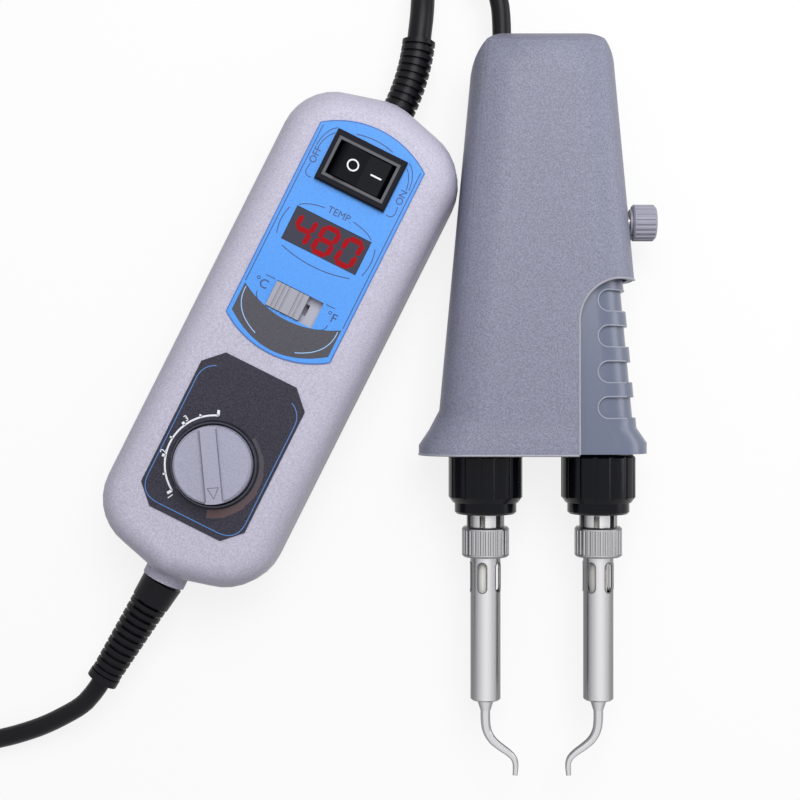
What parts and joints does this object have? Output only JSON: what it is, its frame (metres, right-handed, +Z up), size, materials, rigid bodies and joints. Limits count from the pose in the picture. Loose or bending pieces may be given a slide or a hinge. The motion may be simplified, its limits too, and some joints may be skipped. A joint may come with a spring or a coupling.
{
  "type": "soldering tweezers",
  "caption": "Soldering tweezers with a sprung squeeze lever, heated arms with bent tips and an in-line temperature controller with rocker, slide switch and dial.",
  "frame": {"origin": "middle of the handle and controller's box, on the surface that both lie on; the leads are left out", "axes": "+Y from the tips towards the handle's cord end, +Z up from the surface, +X to the lever side"},
  "size_m": [0.2502, 0.3381, 0.037],
  "materials": {
    "handle_plastic": "fine grained, speckled",
    "lever_plastic": "fine grained",
    "case_plastic": "fine grained",
    "label_blue": "satin printed film",
    "label_dark": "satin printed film",
    "switch_black": "gloss",
    "collar_black": "gloss",
    "window_smoke": "gloss",
    "module_white": "satin",
    "knob_grey": "satin",
    "ring_grey": "satin",
    "steel": "turned",
    "nickel": "plated",
    "brass": "turned",
    "tip_metal": "plated",
    "ceramic": "glazed",
    "rubber_black": "satin",
    "board_green": "solder mask",
    "sink_metal": "extruded",
    "part_black": "moulded",
    "film_yellow": "moulded"
  },
  "bodies": {
    "base": {"handle_front_shell": "handle_plastic", "handle_rear_shell": "handle_plastic", "handle_screws": "steel", "lever_pivot_pin": "steel", "return_spring": "steel", "adjuster_insert": "brass", "cord_bush": "rubber_black", "fixed_socket": "collar_black", "fixed_collar_nut": "collar_black", "fixed_lock_ring": "collar_black", "fixed_ferrule": "nickel", "fixed_tip_nut": "nickel", "fixed_sleeve": "steel", "fixed_tip": "tip_metal", "fixed_heater": "ceramic", "case_top": "case_plastic", "case_bottom": "case_plastic", "case_screws": "steel", "upper_label": "label_blue", "lower_label": "label_dark", "rocker_frame": "switch_black", "rocker_terminals": "brass", "display_window": "window_smoke", "display_module": "module_white", "slide_switch_body": "steel", "dial_ring": "ring_grey", "potentiometer": "brass", "potentiometer_nut": "steel", "display_board": "board_green", "main_board": "board_green", "board_screws": "steel", "power_triac": "part_black", "heat_sink": "sink_metal", "filter_capacitor": "film_yellow", "mains_strain_relief": "rubber_black", "handle_strain_relief": "rubber_black", "mains_cord": "rubber_black", "mains_coil": "rubber_black", "mains_plug": "rubber_black", "plug_pins": "nickel", "handle_cord": "rubber_black", "handle_cord_coil": "rubber_black", "cord_ties": "rubber_black"},
    "lever": {"lever_grip": "lever_plastic", "moving_socket": "collar_black", "moving_collar_nut": "collar_black", "moving_lock_ring": "collar_black", "moving_ferrule": "nickel", "moving_tip_nut": "nickel", "moving_sleeve": "steel", "moving_tip": "tip_metal", "moving_heater": "ceramic"},
    "stop_screw": {"adjuster_screw": "steel", "adjuster_knob": "steel"},
    "rocker": {"rocker_button": "switch_black"},
    "unit_slider": {"slide_switch_cap": "knob_grey"},
    "dial": {"dial_knob": "knob_grey", "dial_shaft": "steel"}
  },
  "joints": [
    {"name": "lever_squeeze", "type": "hinge", "parent": "base", "child": "lever", "pos_m": [0.057, 0.0876, 0.0155], "axis": [0, 0, -1], "range_deg": [0, 3.7], "stiffness_Nm_per_rad": 2.2, "springref_deg": -5.73, "deforming": ["return_spring"]},
    {"name": "stop_screw_turn", "type": "hinge", "parent": "base", "child": "stop_screw", "pos_m": [0.075, 0.0512, 0.0155], "axis": [1, 0, 0], "range_deg": [-270, 270]},
    {"name": "rocker_tilt", "type": "hinge", "parent": "base", "child": "rocker", "pos_m": [-0.00252, 0.06349, 0.0276], "axis": [-0.4478, -0.8942, 0], "range_deg": [0, 20]},
    {"name": "unit_slide", "type": "slide", "parent": "base", "child": "unit_slider", "axis": [0.8942, -0.4478, 0], "range_m": [0, 0.0041]},
    {"name": "dial_turn", "type": "hinge", "parent": "base", "child": "dial", "pos_m": [-0.04243, -0.01621, 0.031], "axis": [0, 0, 1], "range_deg": [0, 280]}
  ]
}
